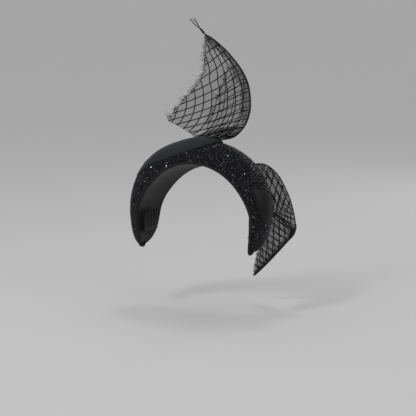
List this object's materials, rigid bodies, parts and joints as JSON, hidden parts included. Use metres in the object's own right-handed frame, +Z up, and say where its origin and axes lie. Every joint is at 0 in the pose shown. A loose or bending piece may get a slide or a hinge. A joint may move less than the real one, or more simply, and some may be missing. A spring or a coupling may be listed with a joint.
{
  "type": "fascinator headpiece",
  "caption": "Padded bead-covered halo headband worn over the crown from ear to ear, with an upright net sail on top and a gathered net veil at one side.",
  "frame": {"origin": "centre of the wearer's head, which the arch fits round: the centre of the inner arc, 8 mm in front of the rear edge's plane", "axes": "+Z up; the wearer faces -Y; the wearer's right side, with the veil, is -X"},
  "size_m": [0.2218, 0.1047, 0.3628],
  "materials": {
    "beaded_cover": "glittering, set with tiny faceted black beads",
    "binding": "matt woven tape",
    "swirl_strip": "smooth matt charcoal fabric",
    "satin_lining": "satin",
    "base_shell": "stiffened buckram",
    "headband_core": "smooth",
    "crown_padding": "polyester wadding",
    "edge_wire": "thread-covered steel wire",
    "sail_long_net": "open diamond net",
    "sail_short_net": "open diamond net",
    "veil_net": "open diamond net",
    "rolled_net": "tightly rolled net",
    "gathered_net": "gathered net",
    "thread": "sewing thread",
    "felt": "felt",
    "satin_tab": "satin with a soft sheen",
    "comb": "polished"
  },
  "bodies": {
    "halo": {"beaded_cover": "beaded_cover", "rear_binding": "binding", "front_binding": "binding", "swirl_strip": "swirl_strip", "satin_lining": "satin_lining", "base_shell": "base_shell", "headband_core": "headband_core", "crown_padding": "crown_padding", "rear_edge_wire": "edge_wire", "front_edge_wire": "edge_wire", "sail_root_gather": "gathered_net", "sail_root_thread": "thread", "sail_anchor_patch": "felt", "veil_gather": "gathered_net", "veil_pinch_thread": "thread", "veil_anchor_disc": "felt", "satin_tab": "satin_tab", "left_comb_thread": "thread", "right_comb_thread": "thread"},
    "sail": {"sail_long_layer": "sail_long_net", "sail_short_layer": "sail_short_net", "sail_fold_wire": "rolled_net", "sail_tip_whipping": "thread", "sail_tip_thread_a": "thread", "sail_tip_thread_b": "thread"},
    "veil": {"veil_front_layer": "veil_net", "veil_back_layer": "veil_net", "veil_rim_wire": "rolled_net", "veil_hem": "rolled_net"},
    "left_comb": {"left_comb": "comb"},
    "right_comb": {"right_comb": "comb"}
  },
  "joints": [
    {"name": "sail_sway", "type": "hinge", "parent": "halo", "child": "sail", "pos_m": [-0.004, -0.0382, 0.1075], "axis": [-0.9831, 0.1817, -0.0214], "range_deg": [-8, 8], "stiffness_Nm_per_rad": 0.2},
    {"name": "veil_sway", "type": "hinge", "parent": "halo", "child": "veil", "pos_m": [-0.0986, -0.0466, 0.0075], "axis": [0.527, -0.2273, 0.8189], "range_deg": [-6, 6], "stiffness_Nm_per_rad": 0.1},
    {"name": "left_comb_flip", "type": "hinge", "parent": "halo", "child": "left_comb", "pos_m": [0.07497, -0.02, -0.02], "axis": [-0.1123, -0.9937, 0], "range_deg": [0, 35]},
    {"name": "right_comb_flip", "type": "hinge", "parent": "halo", "child": "right_comb", "pos_m": [-0.07497, -0.02, -0.02], "axis": [-0.1123, 0.9937, 0], "range_deg": [0, 35]}
  ]
}
